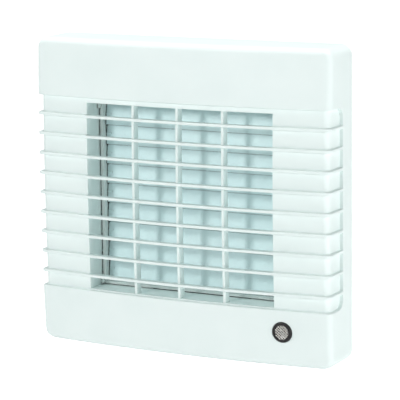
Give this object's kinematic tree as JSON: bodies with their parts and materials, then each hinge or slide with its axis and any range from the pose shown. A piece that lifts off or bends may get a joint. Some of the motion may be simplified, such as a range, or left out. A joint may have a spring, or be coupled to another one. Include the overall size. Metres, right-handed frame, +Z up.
{
  "type": "heat recovery unit",
  "caption": "Wall ventilator unit: ribbed front cover, linked louvre shutter, reversing fan, filters and a ceramic heat core in a round spigot.",
  "frame": {"origin": "on the spigot's axis, in the plane of the wall, which is the base plate's back face", "axes": "+Y along the spigot into the wall, +Z up, +X to the right seen from the room; the room is at -Y"},
  "size_m": [0.18, 0.0945, 0.173],
  "materials": {
    "cover_abs": "satin moulded white ABS, faintly cool",
    "base_abs": "moulded off-white ABS",
    "shutter_abs": "satin moulded white ABS",
    "blade_abs": "satin moulded pale ABS",
    "fan_nylon": "glass-filled nylon",
    "impeller_nylon": "glass-filled nylon",
    "stator_steel": "stacked electrical steel",
    "rotor_steel": "deep-drawn steel",
    "bearing_steel": "ground bearing steel",
    "spring_steel": "spring steel",
    "zinc_steel": "zinc-plated steel",
    "ferrite": "plastic-bonded ferrite",
    "enamelled_copper": "enamelled copper wire, wound",
    "board_epoxy": "glass-epoxy board, green mask",
    "seal_foam": "closed-cell foam rubber",
    "filter_foam": "open-cell filter foam",
    "core_ceramic": "extruded cordierite honeycomb",
    "link_acetal": "moulded acetal",
    "actuator_polyester": "moulded polyester",
    "transformer_tape": "polyester tape over a winding",
    "relay_case": "moulded case",
    "capacitor_sleeve": "film sleeve on an aluminium can",
    "chip_epoxy": "moulded epoxy",
    "trimmer_blue": "moulded nylon",
    "trimmer_white": "moulded nylon",
    "bezel_nylon": "moulded nylon, near black",
    "sensor_wire": "woven stainless wire",
    "element_case": "moulded polyester",
    "terminal_nylon": "moulded nylon",
    "terminal_brass": "plated brass",
    "grommet_rubber": "moulded rubber"
  },
  "bodies": {
    "base": {"base_plate": "base_abs", "spigot": "base_abs", "wall_gasket": "seal_foam", "fan_frame": "fan_nylon", "fan_screws": "zinc_steel", "stator_core": "stator_steel", "stator_coils": "enamelled_copper", "motor_board": "board_epoxy", "front_bearing": "bearing_steel", "rear_bearing": "bearing_steel", "fan_side_filter": "filter_foam", "heat_core": "core_ceramic", "core_seals": "seal_foam", "wall_side_filter": "filter_foam", "core_retainer": "base_abs", "shutter_frame": "shutter_abs", "actuator_body": "actuator_polyester", "actuator_screws": "zinc_steel", "shutter_screws": "zinc_steel", "control_board": "board_epoxy", "board_screws": "zinc_steel", "transformer": "transformer_tape", "relay": "relay_case", "capacitors": "capacitor_sleeve", "board_chips": "chip_epoxy", "trimmer_bases": "trimmer_blue", "sensor_holder": "shutter_abs", "sensor_bezel": "bezel_nylon", "sensor_mesh": "sensor_wire", "sensor_element": "element_case", "terminal_block": "terminal_nylon", "terminal_screws": "terminal_brass", "cable_grommet": "grommet_rubber", "cable_clamp": "terminal_nylon", "clamp_screws": "zinc_steel"},
    "cover": {"front_cover": "cover_abs"},
    "rotor": {"motor_shaft": "bearing_steel", "rotor_cup": "rotor_steel", "rotor_magnet": "ferrite", "impeller": "impeller_nylon", "shaft_clip": "spring_steel"},
    "blade_1": {"shutter_blade_1": "blade_abs"},
    "blade_2": {"shutter_blade_2": "blade_abs"},
    "blade_3": {"shutter_blade_3": "blade_abs"},
    "blade_4": {"shutter_blade_4": "blade_abs"},
    "blade_5": {"shutter_blade_5": "blade_abs"},
    "blade_6": {"shutter_blade_6": "blade_abs"},
    "blade_7": {"shutter_blade_7": "blade_abs"},
    "blade_8": {"shutter_blade_8": "blade_abs"},
    "blade_9": {"shutter_blade_9": "blade_abs"},
    "shutter_drive": {"shutter_link": "link_acetal", "actuator_plunger": "bearing_steel"},
    "timer_dial": {"timer_knob": "trimmer_white"},
    "humidity_dial": {"humidity_knob": "trimmer_white"}
  },
  "joints": [
    {"name": "cover_pull", "type": "slide", "parent": "base", "child": "cover", "axis": [0, -1, 0], "range_m": [0, 0.06]},
    {"name": "fan_spin", "type": "hinge", "parent": "base", "child": "rotor", "pos_m": [0, 0, 0], "axis": [0, 1, 0], "continuous": true},
    {"name": "blade_1_tilt", "type": "hinge", "parent": "base", "child": "blade_1", "pos_m": [0, -0.0108, 0.04278], "axis": [-1, 0, 0], "range_deg": [0, 76]},
    {"name": "blade_2_tilt", "type": "hinge", "parent": "base", "child": "blade_2", "pos_m": [0, -0.0108, 0.03173], "axis": [-1, 0, 0], "range_deg": [0, 76]},
    {"name": "blade_3_tilt", "type": "hinge", "parent": "base", "child": "blade_3", "pos_m": [0, -0.0108, 0.02069], "axis": [-1, 0, 0], "range_deg": [0, 76]},
    {"name": "blade_4_tilt", "type": "hinge", "parent": "base", "child": "blade_4", "pos_m": [0, -0.0108, 0.00964], "axis": [-1, 0, 0], "range_deg": [0, 76]},
    {"name": "blade_5_tilt", "type": "hinge", "parent": "base", "child": "blade_5", "pos_m": [0, -0.0108, -0.0014], "axis": [-1, 0, 0], "range_deg": [0, 76]},
    {"name": "blade_6_tilt", "type": "hinge", "parent": "base", "child": "blade_6", "pos_m": [0, -0.0108, -0.01244], "axis": [-1, 0, 0], "range_deg": [0, 76]},
    {"name": "blade_7_tilt", "type": "hinge", "parent": "base", "child": "blade_7", "pos_m": [0, -0.0108, -0.02349], "axis": [-1, 0, 0], "range_deg": [0, 76]},
    {"name": "blade_8_tilt", "type": "hinge", "parent": "base", "child": "blade_8", "pos_m": [0, -0.0108, -0.03453], "axis": [-1, 0, 0], "range_deg": [0, 76]},
    {"name": "blade_9_tilt", "type": "hinge", "parent": "base", "child": "blade_9", "pos_m": [0, -0.0108, -0.04558], "axis": [-1, 0, 0], "range_deg": [0, 76]},
    {"name": "shutter_lift", "type": "slide", "parent": "base", "child": "shutter_drive", "axis": [0, 0, 1], "range_m": [0, 0.00395]},
    {"name": "timer_turn", "type": "hinge", "parent": "base", "child": "timer_dial", "pos_m": [0.037, -0.0148, -0.066], "axis": [0, -1, 0], "range_deg": [-135, 135]},
    {"name": "humidity_turn", "type": "hinge", "parent": "base", "child": "humidity_dial", "pos_m": [0.047, -0.0148, -0.066], "axis": [0, -1, 0], "range_deg": [-135, 135]}
  ],
  "couplings": [
    {"joint": "blade_2_tilt", "follows": "blade_1_tilt", "ratio": 1},
    {"joint": "blade_3_tilt", "follows": "blade_1_tilt", "ratio": 1},
    {"joint": "blade_4_tilt", "follows": "blade_1_tilt", "ratio": 1},
    {"joint": "blade_5_tilt", "follows": "blade_1_tilt", "ratio": 1},
    {"joint": "blade_6_tilt", "follows": "blade_1_tilt", "ratio": 1},
    {"joint": "blade_7_tilt", "follows": "blade_1_tilt", "ratio": 1},
    {"joint": "blade_8_tilt", "follows": "blade_1_tilt", "ratio": 1},
    {"joint": "blade_9_tilt", "follows": "blade_1_tilt", "ratio": 1},
    {"joint": "shutter_lift", "follows": "blade_1_tilt", "m_per_rad": 0.0029705}
  ]
}
